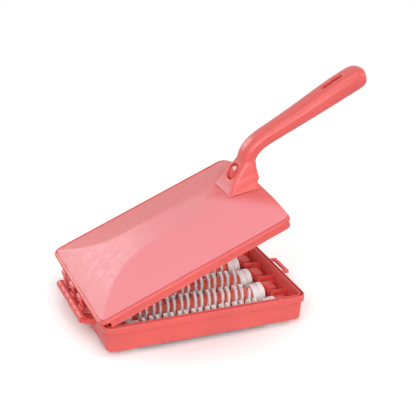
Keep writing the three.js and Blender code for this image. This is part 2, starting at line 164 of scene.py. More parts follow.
# %% Lay the floor
FLOOR_SIZE = 3.2
FLOOR_GAP = 0.0003
GLOW_FROM, GLOW_TO, GLOW = 0.085, 0.14, 0.3
THIN_FROM, THIN_TO = 0.3, 0.7
floor_place = (TRAY_MIDDLE_X, 0, CAD_BOUNDS[0][2] - FLOOR_GAP)
bpy.ops.mesh.primitive_plane_add(size=FLOOR_SIZE, location=floor_place)
floor = bpy.context.object
floor.name = "floor"
paper = bpy.data.materials.new("pale_paper")
paper.use_nodes = True
paper_nodes = paper.node_tree.nodes
paper_links = paper.node_tree.links
paper_shader = paper_nodes["Principled BSDF"]
paper_shader.inputs["Base Color"].default_value = (0.93, 0.93, 0.93, 1)
paper_shader.inputs["Roughness"].default_value = 0.9
paper_shader.inputs["Specular IOR Level"].default_value = 0.1
where = paper_nodes.new("ShaderNodeTexCoord")
away = paper_nodes.new("ShaderNodeVectorMath")
away.operation = "LENGTH"
paper_links.new(where.outputs["Object"], away.inputs[0])


def ramp_out(start, end, top):
    ramp = paper_nodes.new("ShaderNodeMapRange")
    ramp.inputs["From Min"].default_value = start
    ramp.inputs["From Max"].default_value = end
    ramp.inputs["To Max"].default_value = top
    paper_links.new(away.outputs["Value"], ramp.inputs["Value"])
    return ramp


glow = paper_nodes.new("ShaderNodeLightPath")
lift = paper_nodes.new("ShaderNodeMath")
lift.operation = "MULTIPLY"
paper_links.new(glow.outputs["Is Camera Ray"], lift.inputs[0])
paper_links.new(ramp_out(GLOW_FROM, GLOW_TO, GLOW).outputs["Result"], lift.inputs[1])
paper_shader.inputs["Emission Color"].default_value = (1, 1, 1, 1)
paper_links.new(lift.outputs[0], paper_shader.inputs["Emission Strength"])
nothing = paper_nodes.new("ShaderNodeBsdfTransparent")
edge = paper_nodes.new("ShaderNodeMixShader")
paper_links.new(ramp_out(THIN_FROM, THIN_TO, 1).outputs["Result"], edge.inputs["Fac"])
paper_links.new(paper_shader.outputs["BSDF"], edge.inputs[1])
paper_links.new(nothing.outputs["BSDF"], edge.inputs[2])
paper_links.new(edge.outputs[0], paper_nodes["Material Output"].inputs["Surface"])
floor.data.materials.append(paper)
print("the floor thins out between", THIN_FROM, "and", THIN_TO, "metres from the middle")

# %% [markdown]
# ## The lamps
# Glossy plastic shows its light, so the lamps are large and soft. One lamp would be simpler, but its
# hard shadow would hide the brushes under the lid. The main one stands to the front and left, a second
# stands near the camera, and weaker ones stand behind, above and to the right. Together they light a
# colour about as it is written.

# %% Hang the lamps
def lamp(name, place, target, size, watts):
    bpy.ops.object.light_add(type="AREA", location=place)
    light = bpy.context.object
    light.name = name
    light.data.size = size
    light.data.energy = watts
    light.rotation_euler = (Vector(target) - Vector(place)).to_track_quat("-Z", "Y").to_euler()


lamp("key_softbox", (-0.8, -0.95, 0.9), (0, 0, 0.08), 0.6, 6.8)
lamp("camera_softbox", (-0.15, -1.3, 0.6), (0, 0, 0.02), 0.5, 6.2)
lamp("back_softbox", (-0.5, 1.15, 0.6), (0, 0, 0.1), 0.4, 3.6)
lamp("top_softbox", (-0.2, -0.3, 1.5), (0, 0, 0.05), 0.8, 4)
lamp("side_softbox", (1.3, -0.4, 0.8), (0, 0, 0.05), 0.8, 5)
print("five lamps hung")

# %% [markdown]
# ## Moulded plastic
# Everything red on the sweeper is one polypropylene, a little soft to the eye, with a fine grain from
# the mould, faint flow marks and small scuffs. One flat colour would look like paint. So a slow noise
# makes the colour wander, a quicker one the gloss, and a very fine one gives the grain as a bump.
# All patterns read Object coordinates, so they stay on the piece when it moves.

# %% Mix a moulded plastic
FLOW_MARKS = 22
SCUFFS = 160
MOULD_GRAIN = 2400
GRAIN_DEPTH = 0.00004
LIGHT_REACH = (0.004, 0.001, 0.001)


def moulded_plastic(name, color, roughness, grain, wander=0.05, soft=0.12):
    material = bpy.data.materials.new(name)
    material.use_nodes = True
    nodes = material.node_tree.nodes
    links = material.node_tree.links
    shader = nodes["Principled BSDF"]
    place = nodes.new("ShaderNodeTexCoord")
    flow = nodes.new("ShaderNodeTexNoise")
    flow.inputs["Scale"].default_value = FLOW_MARKS
    flow.inputs["Detail"].default_value = 3
    links.new(place.outputs["Object"], flow.inputs["Vector"])
    tint = nodes.new("ShaderNodeValToRGB")
    tint.color_ramp.elements[0].position = 0.3
    tint.color_ramp.elements[0].color = (*[c * (1 - wander) for c in color], 1)
    tint.color_ramp.elements[1].position = 0.7
    tint.color_ramp.elements[1].color = (*[min(c * (1 + wander), 1) for c in color], 1)
    links.new(flow.outputs["Fac"], tint.inputs["Fac"])
    links.new(tint.outputs["Color"], shader.inputs["Base Color"])
    scuff = nodes.new("ShaderNodeTexNoise")
    scuff.inputs["Scale"].default_value = SCUFFS
    scuff.inputs["Detail"].default_value = 5
    links.new(place.outputs["Object"], scuff.inputs["Vector"])
    gloss = nodes.new("ShaderNodeMapRange")
    gloss.inputs["From Min"].default_value = 0.3
    gloss.inputs["From Max"].default_value = 0.7
    gloss.inputs["To Min"].default_value = roughness - 0.05
    gloss.inputs["To Max"].default_value = roughness + 0.07
    links.new(scuff.outputs["Fac"], gloss.inputs["Value"])
    links.new(gloss.outputs["Result"], shader.inputs["Roughness"])
    skin = nodes.new("ShaderNodeTexNoise")
    skin.inputs["Scale"].default_value = MOULD_GRAIN
    skin.inputs["Detail"].default_value = 2
    links.new(place.outputs["Object"], skin.inputs["Vector"])
    bump = nodes.new("ShaderNodeBump")
    bump.inputs["Strength"].default_value = grain
    bump.inputs["Distance"].default_value = GRAIN_DEPTH
    links.new(skin.outputs["Fac"], bump.inputs["Height"])
    links.new(bump.outputs["Normal"], shader.inputs["Normal"])
    shader.inputs["Subsurface Weight"].default_value = soft
    shader.inputs["Subsurface Radius"].default_value = LIGHT_REACH
    shader.inputs["Subsurface Scale"].default_value = 0.5
    return material


# %% Mix the sweeper's plastics
CORAL_COLOR = (0.76, 0.11, 0.10)
# The bearing frames' deeper coral is painted shade, standing in for the deep red shade of the pockets
# between the rollers.
POCKET_SHADE_CORAL = (0.74, 0.065, 0.055)
# The button's deeper red is painted shade, standing in for the dark of its pocket.
BUTTON_SHADED_COLOR = (0.74, 0.05, 0.045)
ROLLER_COLOR = (0.74, 0.13, 0.08)
CORAL = moulded_plastic("coral_plastic", CORAL_COLOR, 0.34, 0.5)
# The crown's and the handle's plastics also carry a painted sheen, mixed into their colour further down.
CORAL_CROWN = moulded_plastic("coral_crown_plastic", CORAL_COLOR, 0.43, 0.25, wander=0.03, soft=0)
CORAL_HANDLE = moulded_plastic("coral_handle_plastic", CORAL_COLOR, 0.32, 0.5)
CORAL_BEARING_SHADED = moulded_plastic("coral_plastic_painted_pocket_shade", POCKET_SHADE_CORAL, 0.36, 0.5)
BUTTON_RED_SHADED = moulded_plastic("button_plastic", BUTTON_SHADED_COLOR, 0.12, 0.1, wander=0.02)
CORAL_ROLLER = moulded_plastic("coral_roller_plastic", ROLLER_COLOR, 0.45, 0.6)
WHITE = moulded_plastic("white_plastic", (0.96, 0.94, 0.94), 0.38, 0.4, wander=0.02, soft=0)
BRISTLE = moulded_plastic("white_bristle", (0.99, 0.95, 0.95), 0.5, 0.1, wander=0.01, soft=0)
print("eight plastics mixed")

# %% [markdown]
# ## Softened mouldings
# The tray and the bearing frames already have their true shape as solids, with the sharp edges of a
# drawing. A mould rounds every edge a little. They could be modelled again with rounded edges, but a
# copy keeps their measures. So each is copied, its loose triangles are merged and its flat faces made
# whole again. A fine bevel then rounds every edge that turns sharply.

# %% Helpers that copy a solid and soften it
MERGE_WITHIN = 0.00001
FLAT_WITHIN = 1
SHARP_TURN = 28
SMOOTH_MARGIN = 8


def loose_copy(node, name):
    bpy.ops.object.select_all(action="DESELECT")
    piece = frame["nodes"][node].copy()
    piece.data = piece.data.copy()
    piece.parent = None
    # The copy is a new piece, so it drops the notes that mark a measured solid.
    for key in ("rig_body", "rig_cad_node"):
        if key in piece:
            del piece[key]
    piece.name = name
    bpy.context.collection.objects.link(piece)
    piece.select_set(True)
    bpy.context.view_layer.objects.active = piece
    bpy.ops.object.mode_set(mode="EDIT")
    bpy.ops.mesh.select_all(action="SELECT")
    bpy.ops.mesh.remove_doubles(threshold=MERGE_WITHIN)
    bpy.ops.object.mode_set(mode="OBJECT")
    return piece


def round_edges(piece, width, turn, segments=2):
    bevel = piece.modifiers.new("edge", "BEVEL")
    bevel.width = width
    bevel.segments = segments
    bevel.limit_method = "ANGLE"
    bevel.angle_limit = math.radians(turn)
    bpy.ops.object.modifier_apply(modifier="edge")
    bpy.ops.object.shade_smooth_by_angle(angle=math.radians(turn + SMOOTH_MARGIN))


def soften(piece, width):
    bpy.ops.object.select_all(action="DESELECT")
    piece.select_set(True)
    bpy.context.view_layer.objects.active = piece
    bpy.ops.object.mode_set(mode="EDIT")
    bpy.ops.mesh.select_all(action="SELECT")
    bpy.ops.mesh.dissolve_limited(angle_limit=math.radians(FLAT_WITHIN))
    bpy.ops.object.mode_set(mode="OBJECT")
    round_edges(piece, width, SHARP_TURN)


# %% [markdown]
# ## The hinge's barrels
# Six short barrels share one pin. The tray has every other one and the lid has the rest. Each is a tube
# with well rounded ends, so a dark slit shows between neighbours. A bevel on the solids' own barrels
# would break up where they run into their arms. So a Boolean cuts those off, and a cylinder that
# Solidify makes a tube takes the place of each.

# %% Helpers that join and cut
def join(pieces):
    bpy.ops.object.select_all(action="DESELECT")
    for piece in pieces:
        piece.select_set(True)
    bpy.context.view_layer.objects.active = pieces[0]
    bpy.ops.object.join()


def block(size_x, size_y, size_z, place):
    bpy.ops.object.select_all(action="DESELECT")
    bpy.ops.mesh.primitive_cube_add(size=1, location=place)
    bpy.context.object.scale = (size_x, size_y, size_z)
    bpy.ops.object.transform_apply(location=True, scale=True)
    return bpy.context.object


def cut(piece, cutter):
    carve = piece.modifiers.new("carve", "BOOLEAN")
    carve.object = cutter
    carve.operation = "DIFFERENCE"
    carve.solver = "EXACT"
    bpy.context.view_layer.objects.active = piece
    bpy.ops.object.modifier_apply(modifier="carve")
    bpy.data.objects.remove(cutter)


# %% Roll the barrels
HINGE = next(joint for joint in frame["joints"] if joint["name"] == "lid_hinge")
PIN = Vector(HINGE["pos_m"])
BARREL_RADIUS = 0.00375
BARREL_PITCH = 0.013
BARREL_LENGTH = 0.0124
BARREL_WALL = 0.00185
BARREL_END = 0.0008
BARREL_TURN = 50
MIDDLE_BARREL = 2.5
CUT_BEHIND, CUT_BEFORE = 0.0046, 0.0022
CUT_WIDTH, CUT_HEIGHT = 0.082, 0.0094
print("the pin lies at", tuple(round(v, 4) for v in PIN))


def barrel(index, middle_x):
    bpy.ops.object.select_all(action="DESELECT")
    bpy.ops.mesh.primitive_cylinder_add(
        vertices=32, radius=BARREL_RADIUS, depth=BARREL_LENGTH, end_fill_type="NOTHING",
        location=(PIN.x - middle_x, (index - MIDDLE_BARREL) * BARREL_PITCH, PIN.z),
        rotation=(math.pi / 2, 0, 0),
    )
    bpy.ops.object.transform_apply(location=True, rotation=True)
    piece = bpy.context.object
    wall = piece.modifiers.new("wall", "SOLIDIFY")
    wall.thickness = BARREL_WALL
    wall.offset = -1
    bpy.ops.object.modifier_apply(modifier="wall")
    round_edges(piece, BARREL_END, BARREL_TURN, 3)
    return piece


def with_barrels(piece, first, middle_x):
    start = PIN.x - middle_x - CUT_BEHIND
    end = PIN.x - middle_x + CUT_BEFORE
    cut(piece, block(end - start, CUT_WIDTH, CUT_HEIGHT, ((start + end) / 2, 0, PIN.z)))
    join([piece] + [barrel(index, middle_x) for index in (first, first + 2, first + 4)])


# %% [markdown]
# ## The tray, its bearings and the pin
# The tray holds the rollers' axles in a bearing frame at each end, with an upright rib between one
# roller and the next. All are copies of their solids, softened. The solids' ribs are too thin for a
# moulding, so a thicker rib is built over each with a block that is joined to the frame.

# %% Helpers that finish a piece
def paint(piece, material):
    piece.data.materials.clear()
    piece.data.materials.append(material)


def dress(piece, body, node):
    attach(piece, body)
    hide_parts(node)
    print(piece.name, len(piece.data.polygons), "faces")


# %% Soften the tray
tray = loose_copy("tray", "tray_moulding")
soften(tray, 0.0003)
with_barrels(tray, 0, 0)
paint(tray, CORAL)
dress(tray, "tray", "tray")

# %% Soften the bearings and the pin
RIB_TOP = 0.023
RIB_THICKNESS = 0.0034
RIB_EDGE = 0.0005
FITTINGS = [
    ("bearing_frame_hinge_end", "hinge_end_bearings", 0.0004, CORAL_BEARING_SHADED),
    ("bearing_frame_catch_end", "catch_end_bearings", 0.0004, CORAL_BEARING_SHADED),
    ("hinge_pin", "hinge_pin_rod", 0.0003, CORAL),
]


def ribs(node):
    low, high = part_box(node)
    made = []
    for number in range(1, 5):
        near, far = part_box(f"roller_{number}_core"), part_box(f"roller_{number + 1}_core")
        y = (near[0][1] + near[1][1] + far[0][1] + far[1][1]) / 4
        middle = ((low[0] + high[0]) / 2, y, (low[2] + RIB_TOP) / 2)
        made.append(block(high[0] - low[0], RIB_THICKNESS, RIB_TOP - low[2], middle))
        round_edges(made[-1], RIB_EDGE, SHARP_TURN)
    return made


for node, name, width, material in FITTINGS:
    made = loose_copy(node, name)
    soften(made, width)
    if node != "hinge_pin":
        join([made] + ribs(node))
    paint(made, material)
    dress(made, "tray", node)

# %% [markdown]
# ## Where the lid is
# The lid could be shaped where it stands, but all its measures would slope. It is easier to shape it
# shut, square to the tray, and then to swing it open about the hinge pin. The hinge joint says where
# the pin is and how far the lid has turned.

# %% Find the hinge and the lid's turn
OPEN_ANGLE = math.radians(-HINGE["range_deg"][0])
swing = Matrix.Rotation(-OPEN_ANGLE, 4, "Y")
OPEN_LID = Matrix.Translation(PIN) @ swing @ Matrix.Translation(-PIN)
SHUT_LID = OPEN_LID.inverted()
print("the lid stands open by", round(math.degrees(OPEN_ANGLE), 1), "degrees")

# %% [markdown]
# ## The crown's shape
# From each long edge a flank rises, and a band climbs between the two from the hinge end. Where they
# meet is a crease, which is sharp at the hinge end and fades towards the handle. The shoulder falls
# from there to the handle end. It could be sculpted, but each side must match the other. Formulas say
# all this evenly, and the grid that follows can be as fine as needed.

# %% Measure the lid
LENGTH = 0.200
WIDTH = 0.160
CORNER = 0.009
LID_TOP = 0.0345
RIM_BOTTOM = 0.0314
CROWN_INSET = 0.0038
END_INSET = 0.0008
EDGE = WIDTH / 2 - CROWN_INSET
print("the lid measures", LENGTH * 1000, "by", WIDTH * 1000, "mm")

# %% Describe the band, the shoulder and the flanks
BAND_RISE, BAND_RUN = 0.0134, 0.095
CREST_RISE, CREST_FROM, CREST_TO = 0.0016, 0.022, 0.066
SHOULDER_RISE, SHOULDER_BOW, SHOULDER_SLOPE = 0.0095, 0.078, 0.14
FLANK_SLOPE, FLANK_GAIN, FLANK_FROM, FLANK_TO = 0.18, 0.055, -0.080, -0.005
END_GAIN, END_FROM, END_RUN, END_FULL = 0.14, 0.055, 0.045, 0.041


def step(value, low, high):
    t = np.clip((value - low) / (high - low), 0, 1)
    return t * t * (3 - 2 * t)


def band_top(x):
    along = np.clip((x + LENGTH / 2 - CROWN_INSET) / BAND_RUN, 0, 1)
    return BAND_RISE * (1 - (1 - along) ** 2) + CREST_RISE * step(x, CREST_FROM, CREST_TO)


def shoulder_top(x, y):
    arch = SHOULDER_RISE * (1 - (np.abs(y) / SHOULDER_BOW) ** 3)
    return arch + SHOULDER_SLOPE * (LENGTH / 2 - END_INSET - x)


def flank_top(x, y):
    steeper = END_GAIN * (np.clip(x - END_FROM, 0, END_RUN) / END_FULL) ** 2
    slope = FLANK_SLOPE + FLANK_GAIN * step(x, FLANK_FROM, FLANK_TO)
    return (slope + steeper) * (EDGE - np.abs(y))


# %% Round the crown over its creases
CREASE_SHARP, CREASE_GAIN, CREASE_FROM, CREASE_TO = 0.0004, 0.0046, -0.025, 0.035
NARROWEST = 0.003
HALVINGS = 24


def crown_rise(x, y):
    top = np.minimum(band_top(x), shoulder_top(x, y))
    side = flank_top(x, y)
    blend = CREASE_SHARP + CREASE_GAIN * step(x, CREASE_FROM, CREASE_TO)
    near = np.maximum(blend - np.abs(top - side), 0) / blend
    return np.maximum(np.minimum(top, side) - near ** 2 * blend / 4, 0)


def crease_half(x):
    low = np.zeros_like(x)
    high = np.full_like(x, EDGE)
    for _ in range(HALVINGS):
        y = (low + high) / 2
        outside = flank_top(x, y) > np.minimum(band_top(x), shoulder_top(x, y))
        low = np.where(outside, y, low)
        high = np.where(outside, high, y)
    return np.clip(low, NARROWEST, EDGE - NARROWEST)


print("the crown is", round(float(crown_rise(np.array([0.0]), np.array([0.0]))[0]) * 1000, 1), "mm high")

# %% [markdown]
# ## The lid's top
# A flat grid is laid over the lid. Lifted as it is, it would cut across the creases and leave them
# ragged. So its rows are moved first, until one of them follows each crease, and then every point is
# lifted by the formula. The edge is drawn down into the groove, and Solidify gives the wall.

# %% Raise the crown
COLUMNS = 150
INNER_ROWS = 16
OUTER_ROWS = 18
CROWDING = 0.06
LEAST_OUTER = 0.002
CROWN_WALL = 0.0018
LID_TURN = 40
TRAY_MIDDLE = Vector((TRAY_MIDDLE_X, 0, 0))


def place_crown_points(mesh):
    points = np.empty(len(mesh.vertices) * 3)
    mesh.vertices.foreach_get("co", points)
    points = points.reshape(-1, 3)
    u = points[:, 0] + 0.5
    row = points[:, 1] * 2 * (INNER_ROWS + OUTER_ROWS)
    x0 = -LENGTH / 2 + CROWN_INSET
    x1 = LENGTH / 2 - END_INSET
    x = x0 + (x1 - x0) * (u - CROWDING * np.sin(2 * math.pi * (u * 2)) / 2)
    radius = CORNER - CROWN_INSET
    away = np.maximum(radius - np.minimum(x - x0, x1 - x), 0)
    edge = EDGE - (radius - np.sqrt(np.maximum(radius ** 2 - away ** 2, 0)))
    crease = np.minimum(crease_half(x), edge - LEAST_OUTER)
    count = np.abs(row)
    inner = crease * np.minimum(count / INNER_ROWS, 1)
    outer = (edge - crease) * np.maximum((count - INNER_ROWS) / OUTER_ROWS, 0)
    y = np.sign(row) * (inner + outer)
    z = LID_TOP + crown_rise(x, y)
    mesh.vertices.foreach_set("co", np.stack([x, y, z], 1).ravel())


bpy.ops.object.select_all(action="DESELECT")
bpy.ops.mesh.primitive_grid_add(
    x_subdivisions=COLUMNS, y_subdivisions=2 * (INNER_ROWS + OUTER_ROWS), size=1, location=(0, 0, 0),
)
crown = bpy.context.object
crown.name = "lid_crown"
place_crown_points(crown.data)
bpy.ops.object.mode_set(mode="EDIT")
bpy.ops.mesh.select_all(action="SELECT")
bpy.ops.mesh.region_to_loop()
bpy.ops.mesh.extrude_region_move()
bpy.ops.object.mode_set(mode="OBJECT")
for vertex in crown.data.vertices:
    if vertex.select:
        vertex.co.z = RIM_BOTTOM
wall = crown.modifiers.new("wall", "SOLIDIFY")
wall.thickness = CROWN_WALL
wall.offset = -1
bpy.ops.object.modifier_apply(modifier="wall")
bpy.ops.object.shade_smooth_by_angle(angle=math.radians(LID_TURN))
print("the crown has", len(crown.data.polygons), "faces")

# %% [markdown]
# ## The lid's rim
# Round the crown run a rounded bead, a narrow groove and a skirt that drops over the tray's lip. A
# curve with a bevel profile could sweep them round, but it would pinch at the corners. So they are drawn
# like a potter's ring: one rounded rectangle, inset and extruded again and again. The last two edges
# are bridged, so the ring is one closed body.

# %% Helpers that pull the ring about
def draw_in(by, lift=0.0):
    bpy.ops.mesh.inset(thickness=by, depth=lift, use_boundary=True)


def pull(by):
    bpy.ops.mesh.extrude_region_move(TRANSFORM_OT_translate={"value": (0, 0, by)})


# %% Draw the rim
SKIRT_BOTTOM = 0.0247
BEAD_RISE = 0.0021
OVER_THE_BEAD = [(0.0003, 0.0005), (0.0004, 0.0003), (0.0007, 0.0002), (0.0007, 0)]
DOWN_THE_GROOVE = [(0.0003, -0.0015), (0.0018, 0)]
SKIRT_INSET, SKIRT_WALL = 0.0018, 0.0014
SKIRT_INSIDE, LEDGE = 0.0075, 0.0009
bpy.ops.object.select_all(action="DESELECT")
bpy.ops.mesh.primitive_plane_add(size=1, location=(0, 0, RIM_BOTTOM))
rim = bpy.context.object
rim.name = "lid_rim"
rim.scale = (LENGTH, WIDTH, 1)
bpy.ops.object.transform_apply(location=True, scale=True)
bpy.ops.object.mode_set(mode="EDIT")
bpy.ops.mesh.select_all(action="SELECT")
bpy.ops.mesh.bevel(offset=CORNER, segments=10, affect="VERTICES")
bpy.ops.mesh.select_all(action="SELECT")
pull(BEAD_RISE)
for by, lift in OVER_THE_BEAD + DOWN_THE_GROOVE:
    draw_in(by, lift)
bpy.ops.mesh.delete(type="FACE")
bpy.ops.mesh.select_mode(type="FACE")
bpy.ops.mesh.select_all(action="DESELECT")
bpy.ops.object.mode_set(mode="OBJECT")
underside = max(rim.data.polygons, key=lambda face: len(face.vertices))
for face in rim.data.polygons:
    face.select = face.index == underside.index
bpy.ops.object.mode_set(mode="EDIT")
bpy.ops.mesh.normals_make_consistent(inside=False)
draw_in(SKIRT_INSET)
pull(SKIRT_BOTTOM - RIM_BOTTOM)
draw_in(SKIRT_WALL)
pull(SKIRT_INSIDE)
draw_in(LEDGE)
bpy.ops.mesh.delete(type="FACE")
bpy.ops.mesh.select_mode(type="EDGE")
bpy.ops.mesh.select_all(action="DESELECT")
bpy.ops.mesh.select_non_manifold()
bpy.ops.mesh.bridge_edge_loops()
bpy.ops.mesh.select_all(action="SELECT")
bpy.ops.mesh.normals_make_consistent(inside=False)
bpy.ops.object.mode_set(mode="OBJECT")

# %% Stop the skirt short of the hinge
GAP = 0.02
cut(rim, block(GAP, 0.2, GAP, (-LENGTH / 2, 0, RIM_BOTTOM - GAP / 2)))
bpy.ops.object.select_all(action="DESELECT")
rim.select_set(True)
bpy.ops.object.shade_smooth_by_angle(angle=math.radians(LID_TURN))
print("the rim has", len(rim.data.polygons), "faces", [round(v * 1000, 1) for v in rim.dimensions])

# %% [markdown]
# ## Hinge arms and hook
# The lid's three hinge arms and its hook stick out past the rim. They could be built from blocks, but
# their solids are right. So a shut copy of the lid is cut off just outside the rim at each end, and its
# edges are softened.

# %% Cut off the parts that stick out
PAST_RIM = 0.00005


def shut_copy(node, name):
    piece = loose_copy(node, name)
    piece.data.transform(Matrix.Translation(-TRAY_MIDDLE) @ SHUT_LID)
    return piece


def outside_rim(name, side):
    piece = shut_copy("lid_shell", name)
    bpy.ops.object.mode_set(mode="EDIT")
    bpy.ops.mesh.select_all(action="SELECT")
    bpy.ops.mesh.bisect(
        plane_co=(side * (LENGTH / 2 + PAST_RIM), 0, 0), plane_no=(side, 0, 0),
        use_fill=True, clear_inner=True,
    )
    bpy.ops.object.mode_set(mode="OBJECT")
    soften(piece, 0.0002)
    return piece


arms = outside_rim("lid_hinge_arms", -1)
with_barrels(arms, 1, TRAY_MIDDLE_X)
hook = outside_rim("lid_hook", 1)
print("the arms have", len(arms.data.polygons), "faces and the hook has", len(hook.data.polygons))

# %% Join the lid and swing it open
for piece, material in ((crown, CORAL_CROWN), (rim, CORAL), (arms, CORAL), (hook, CORAL)):
    paint(piece, material)
join([crown, rim, arms, hook])
crown.name = "lid_moulding"
crown.data.transform(OPEN_LID @ Matrix.Translation(TRAY_MIDDLE))
dress(crown, "lid", "lid_shell")

# %% [markdown]
# ## The handle
# The handle is one soft moulding, with no sharp line between its root and its grip. A bevel rounds only
# edges, and here whole corners melt into each other. So a shut copy of its solid is remeshed with small
# even faces and smoothed.

# %% Melt the handle into one form
MELT_GRAIN = 0.0008
handle = shut_copy("handle", "handle_shut")
melt = handle.modifiers.new("melt", "REMESH")
melt.mode = "VOXEL"
melt.voxel_size = MELT_GRAIN
bpy.ops.object.modifier_apply(modifier="melt")
ease = handle.modifiers.new("ease", "SMOOTH")
ease.factor = 0.5
ease.iterations = 8
bpy.ops.object.modifier_apply(modifier="ease")
print("the handle has", len(handle.data.polygons), "faces")

# %% [markdown]
# ## The foot of the handle
# At its foot the root flares out to meet the lid, most of all on the side away from the hinge. A
# proportional edit by hand would do it, but the foot has to land on the crown. So each low point is
# moved sideways in code by how near it is to the lid, and none is left under the lid's surface.

# %% Flare the foot
FLARE_HEIGHT = 0.012
FLARE_REACH = 0.0075
FULL_FROM_MIDDLE = 0.012
FRONT_FROM, FRONT_RUN = 0.060, 0.040
LEAST_FLARE = 0.1
DRAWN_BACK = 0.0015
PAST_END = 0.004
ABOVE_LID = 0.00015


def crown_under(x, y):
    return crown_rise(np.minimum(x, LENGTH / 2 - END_INSET), y)


points = np.empty(len(handle.data.vertices) * 3)
handle.data.vertices.foreach_get("co", points)
x, y, z = points.reshape(-1, 3).T
above = z - LID_TOP - crown_under(x, y)
near_foot = np.clip(1 - above / FLARE_HEIGHT, 0, 1) ** 2
front = np.clip((x - FRONT_FROM) / FRONT_RUN, 0, 1)
outward = np.sign(y) * FLARE_REACH * near_foot * np.clip(np.abs(y) / FULL_FROM_MIDDLE, 0, 1)
flared_y = y + outward * (LEAST_FLARE + (1 - LEAST_FLARE) * front)
flared_x = x - DRAWN_BACK * near_foot * (1 - front)
flared_x = np.where(near_foot > 0, np.minimum(flared_x, LENGTH / 2 + PAST_END), flared_x)
surface = LID_TOP + crown_under(flared_x, flared_y) + ABOVE_LID
on_lid = (near_foot > 0) & (flared_x < LENGTH / 2)
flared_z = np.where(on_lid, np.maximum(z, surface), z)
handle.data.vertices.foreach_set("co", np.stack([flared_x, flared_y, flared_z], 1).ravel())
print("the foot is", round(float(np.ptp(flared_y[near_foot > 0])) * 1000, 1), "mm wide")

# %% [markdown]
# ## The button's pocket
# The thumb button sits in an oval pocket, square to the root's slope. Smoothing has narrowed the
# pocket and the button would rub. Less smoothing would leave the handle hard, so the pocket is cut
# again, cleanly, with a cylinder that is scaled to an oval.

# %% Cut the button's pocket cleanly
BUTTON_TILT = math.radians(37)
POCKET_PLACE = Vector((0.0832, 0, 0.0614))
POCKET_HALF_ALONG = 0.00795
POCKET_HALF_ACROSS = 0.00915
POCKET_TOP = 0.0004
POCKET_DEPTH = 0.0071
HANDLE_TURN = 42
pocket_axis = Vector((-math.sin(BUTTON_TILT), 0, math.cos(BUTTON_TILT)))
bpy.ops.object.select_all(action="DESELECT")
bpy.ops.mesh.primitive_cylinder_add(
    vertices=48, radius=1, depth=1, rotation=(0, -BUTTON_TILT, 0),
    location=POCKET_PLACE - pocket_axis * (POCKET_TOP + POCKET_DEPTH) / 2,
)
pocket = bpy.context.object
pocket.scale = (POCKET_HALF_ALONG, POCKET_HALF_ACROSS, POCKET_DEPTH - POCKET_TOP)
bpy.ops.object.transform_apply(location=True, rotation=True, scale=True)
cut(handle, pocket)
bpy.ops.object.select_all(action="DESELECT")
handle.select_set(True)
bpy.ops.object.shade_smooth_by_angle(angle=math.radians(HANDLE_TURN))
handle.name = "handle_moulding"
handle.data.transform(OPEN_LID @ Matrix.Translation(TRAY_MIDDLE))
paint(handle, CORAL_HANDLE)
dress(handle, "lid", "handle")

# %% [markdown]
# ## The thumb button
# The button is a small glossy cap. Its solid has the right shape, so it is copied and softened as the
# tray is. Its plastic is smoother, and its deeper red is painted shade, standing in for the dark of its
# pocket.

# %% Soften the thumb button
button = loose_copy("thumb_button", "thumb_button_cap")
soften(button, 0.0003)
paint(button, BUTTON_RED_SHADED)
dress(button, "thumb_button", "thumb_button")

# %% [markdown]
# ## Where the sheen is painted
# The crown is painted paler than the rest, as painted sheen for the lamps' gloss on its top. The painted
# sheen fades to coral over its shoulder and on its far flank, which turn away from the light. On the
# foot of the handle it lies only low down, on the slope that faces the hinge and the light. A painted
# mask would need a UV map, so nodes measure how far along the lid and up from it a point lies, and
# which way it faces.

# %% Helpers that measure a place and fade
def reach(material, output, direction):
    nodes = material.node_tree.nodes
    dot = nodes.new("ShaderNodeVectorMath")
    dot.operation = "DOT_PRODUCT"
    dot.inputs[1].default_value = direction
    material.node_tree.links.new(nodes["Texture Coordinate"].outputs[output], dot.inputs[0])
    return dot.outputs["Value"]


def combine(material, operation, first, second=None):
    math_node = material.node_tree.nodes.new("ShaderNodeMath")
    math_node.operation = operation
    material.node_tree.links.new(first, math_node.inputs[0])
    if second is not None:
        material.node_tree.links.new(second, math_node.inputs[1])
    return math_node.outputs[0]


def fading(material, value, start, end, at_start, at_end):
    ramp = material.node_tree.nodes.new("ShaderNodeMapRange")
    ramp.interpolation_type = "SMOOTHSTEP"
    ramp.inputs["From Min"].default_value = start
    ramp.inputs["From Max"].default_value = end
    ramp.inputs["To Min"].default_value = at_start
    ramp.inputs["To Max"].default_value = at_end
    material.node_tree.links.new(value, ramp.inputs["Value"])
    return ramp.outputs["Result"]


# %% Say where the painted sheen lies on the crown and the foot
ALONG_LID = Vector((math.cos(OPEN_ANGLE), 0, math.sin(OPEN_ANGLE)))
UP_FROM_LID = Vector((-math.sin(OPEN_ANGLE), 0, math.cos(OPEN_ANGLE)))
ACROSS_LID = Vector((0, 1, 0))
SHOULDER_SLANT = 1.3
SHOULDER_FROM, SHOULDER_TO, SHOULDER_SHEEN = 0.196, 0.222, 0.3
FAR_FROM, FAR_TO, FAR_FLANK_SHEEN = 0.05, 0.2, 0.35
FACING_FROM, FACING_TO = 0.3, 0.6


# Painted sheen on the crown: full on its top and near flank, weaker over the shoulder and on the far
# flank, where the faces turn from the light.
def crown_painted_sheen(material):
    slanted = ALONG_LID * SHOULDER_SLANT
    aside = combine(material, "ABSOLUTE", reach(material, "Object", ACROSS_LID))
    slant = combine(material, "SUBTRACT", reach(material, "Object", slanted), aside)
    start = PIN.dot(slanted)
    before = fading(material, slant, start + SHOULDER_FROM, start + SHOULDER_TO, 1, SHOULDER_SHEEN)
    turned = reach(material, "Normal", ACROSS_LID)
    near_flank = fading(material, turned, FAR_FROM, FAR_TO, 1, FAR_FLANK_SHEEN)
    return combine(material, "MULTIPLY", before, near_flank)


